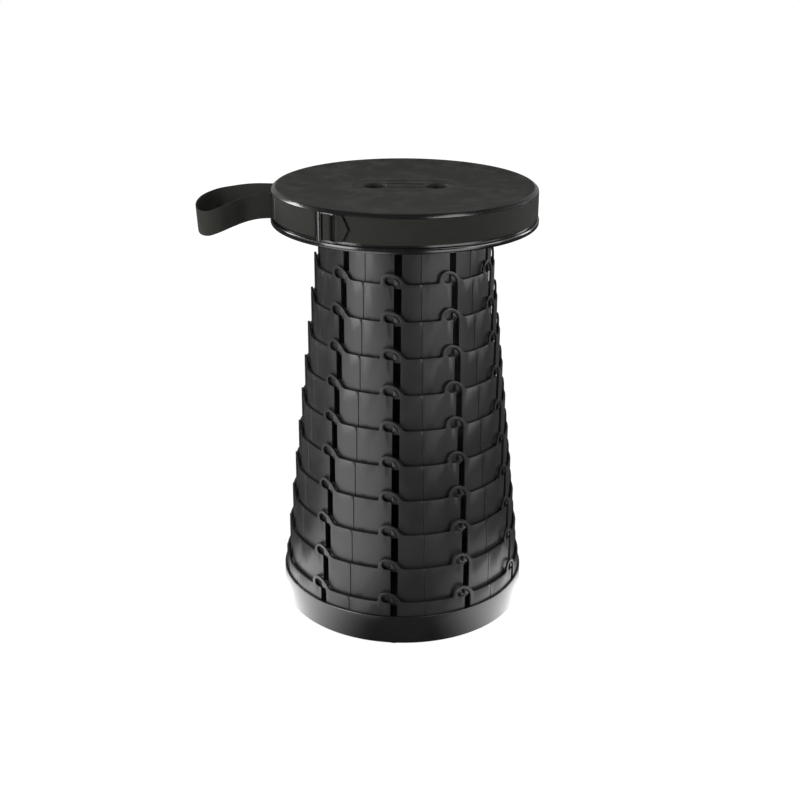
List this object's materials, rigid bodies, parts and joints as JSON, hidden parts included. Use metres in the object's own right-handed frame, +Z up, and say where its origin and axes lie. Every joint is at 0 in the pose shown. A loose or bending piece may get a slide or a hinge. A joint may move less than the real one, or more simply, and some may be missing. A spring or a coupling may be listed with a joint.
{
  "type": "collapsible stool",
  "caption": "Round collapsible stool: slotted tubes telescope from a seat with finger holes down into a low base, with a webbing band and carry loop round the seat.",
  "frame": {"origin": "on the ground at the middle of the base, on the common axis of the tubes", "axes": "+Z up along the tubes' axis, -Y to the front as in the picture, +X to the right, so the carry loop stands out towards -X"},
  "size_m": [0.3393, 0.268, 0.45],
  "materials": {
    "seat_plastic": "satin",
    "ring_plastic": "satin",
    "gloss_plastic": "gloss",
    "webbing": "woven",
    "slider_plastic": "semi gloss",
    "rubber": "matte",
    "steel": "plated"
  },
  "bodies": {
    "base": {"base_cup": "gloss_plastic", "foot_pads": "rubber", "ring_11": "ring_plastic"},
    "ring_10": {"ring_10": "ring_plastic"},
    "ring_09": {"ring_09": "ring_plastic"},
    "ring_08": {"ring_08": "ring_plastic"},
    "ring_07": {"ring_07": "ring_plastic"},
    "ring_06": {"ring_06": "ring_plastic"},
    "ring_05": {"ring_05": "ring_plastic"},
    "ring_04": {"ring_04": "ring_plastic"},
    "ring_03": {"ring_03": "ring_plastic"},
    "ring_02": {"ring_02": "ring_plastic"},
    "ring_01": {"ring_01": "ring_plastic"},
    "seat": {"seat_collar": "ring_plastic", "seat_skirt": "gloss_plastic", "seat_top": "seat_plastic", "seat_screws": "steel", "strap_band": "webbing", "slider_buckle": "slider_plastic", "strap_tail": "webbing", "strap_loop": "webbing"}
  },
  "joints": [
    {"name": "ring_10_slide", "type": "slide", "parent": "base", "child": "ring_10", "axis": [0, 0, -1], "range_m": [0, 0.03611]},
    {"name": "ring_09_slide", "type": "slide", "parent": "ring_10", "child": "ring_09", "axis": [0, 0, -1], "range_m": [0, 0.03611]},
    {"name": "ring_08_slide", "type": "slide", "parent": "ring_09", "child": "ring_08", "axis": [0, 0, -1], "range_m": [0, 0.03611]},
    {"name": "ring_07_slide", "type": "slide", "parent": "ring_08", "child": "ring_07", "axis": [0, 0, -1], "range_m": [0, 0.03611]},
    {"name": "ring_06_slide", "type": "slide", "parent": "ring_07", "child": "ring_06", "axis": [0, 0, -1], "range_m": [0, 0.03611]},
    {"name": "ring_05_slide", "type": "slide", "parent": "ring_06", "child": "ring_05", "axis": [0, 0, -1], "range_m": [0, 0.03611]},
    {"name": "ring_04_slide", "type": "slide", "parent": "ring_05", "child": "ring_04", "axis": [0, 0, -1], "range_m": [0, 0.03611]},
    {"name": "ring_03_slide", "type": "slide", "parent": "ring_04", "child": "ring_03", "axis": [0, 0, -1], "range_m": [0, 0.03611]},
    {"name": "ring_02_slide", "type": "slide", "parent": "ring_03", "child": "ring_02", "axis": [0, 0, -1], "range_m": [0, 0.03611]},
    {"name": "ring_01_slide", "type": "slide", "parent": "ring_02", "child": "ring_01", "axis": [0, 0, -1], "range_m": [0, 0.03611]},
    {"name": "seat_slide", "type": "slide", "parent": "ring_01", "child": "seat", "axis": [0, 0, -1], "range_m": [0, 0.0199]}
  ],
  "couplings": [
    {"joint": "ring_09_slide", "follows": "ring_10_slide", "ratio": 1},
    {"joint": "ring_08_slide", "follows": "ring_10_slide", "ratio": 1},
    {"joint": "ring_07_slide", "follows": "ring_10_slide", "ratio": 1},
    {"joint": "ring_06_slide", "follows": "ring_10_slide", "ratio": 1},
    {"joint": "ring_05_slide", "follows": "ring_10_slide", "ratio": 1},
    {"joint": "ring_04_slide", "follows": "ring_10_slide", "ratio": 1},
    {"joint": "ring_03_slide", "follows": "ring_10_slide", "ratio": 1},
    {"joint": "ring_02_slide", "follows": "ring_10_slide", "ratio": 1},
    {"joint": "ring_01_slide", "follows": "ring_10_slide", "ratio": 1},
    {"joint": "seat_slide", "follows": "ring_10_slide", "ratio": 0.55109}
  ]
}
